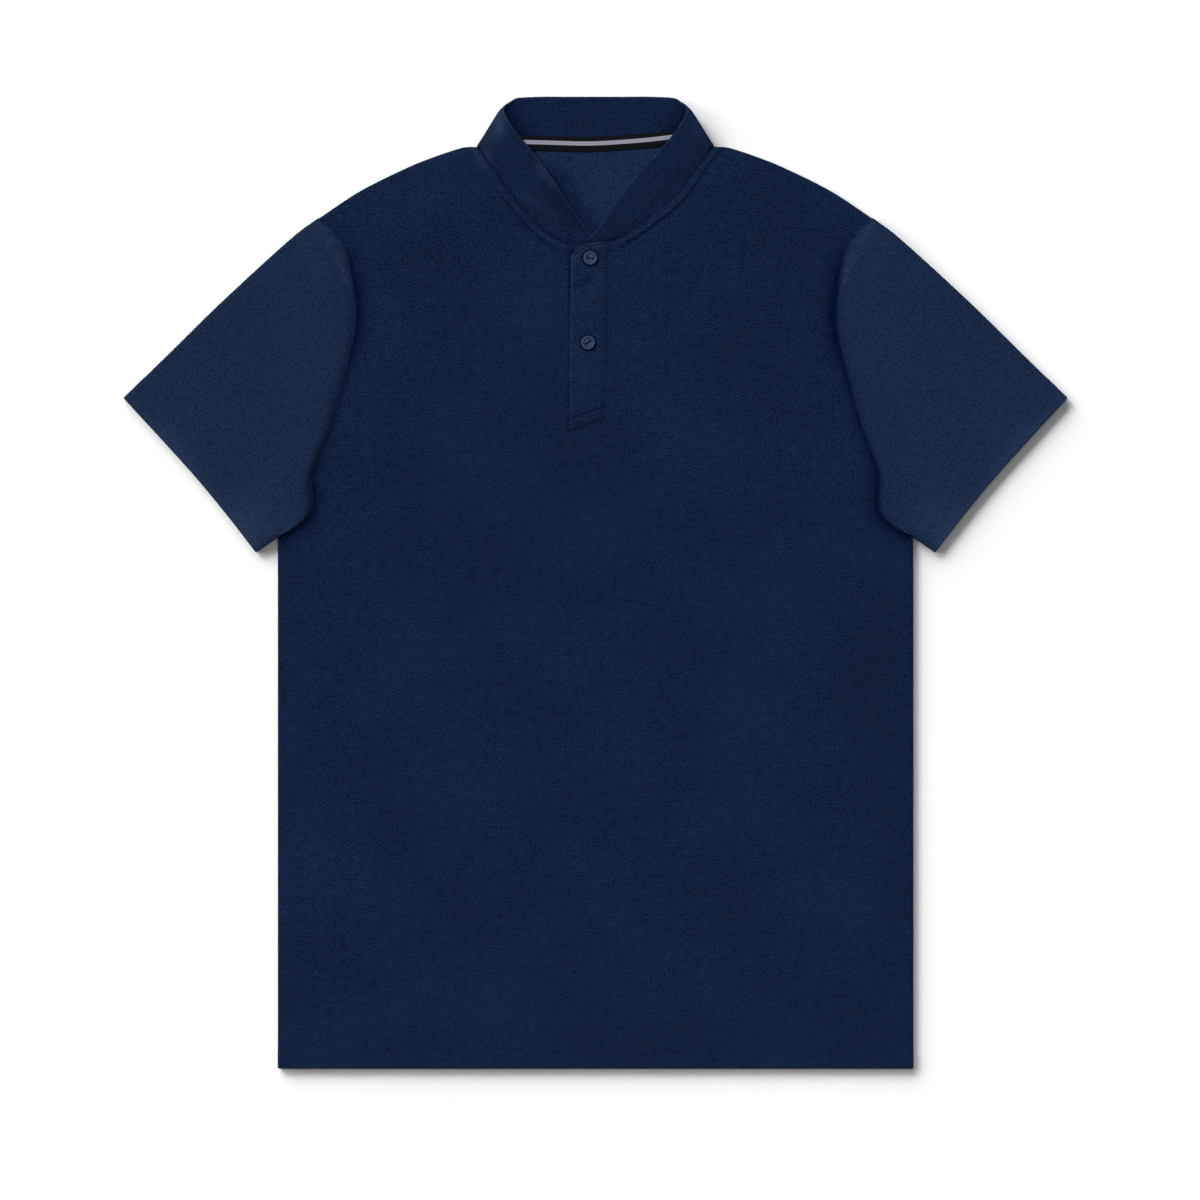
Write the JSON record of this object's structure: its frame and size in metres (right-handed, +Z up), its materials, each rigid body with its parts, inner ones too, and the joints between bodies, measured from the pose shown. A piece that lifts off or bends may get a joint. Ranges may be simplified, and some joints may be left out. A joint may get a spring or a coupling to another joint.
{
  "type": "polo shirt laid flat",
  "caption": "Short-sleeved knit polo shirt with a tapered band collar and a short buttoned placket, laid flat on its back.",
  "frame": {"origin": "on the surface that the shirt lies on, under the middle of its box", "axes": "+Z up from the surface, +Y from the hem towards the collar, +X towards the sleeve on the picture's right"},
  "size_m": [0.7552, 0.7778, 0.0097],
  "materials": {
    "body_knit": "navy pique knit, matt",
    "collar_knit": "navy knit, two plies, matt",
    "tape": "black twill tape with a pale grey stripe",
    "button": "navy, satin, raised rim"
  },
  "bodies": {
    "root": {"back": "body_knit", "front": "body_knit", "sleeve_left": "body_knit", "sleeve_right": "body_knit", "collar_band": "collar_knit", "neck_tape": "tape", "placket_under": "body_knit", "placket_top": "body_knit", "button_1": "button", "button_2": "button"}
  },
  "joints": []
}
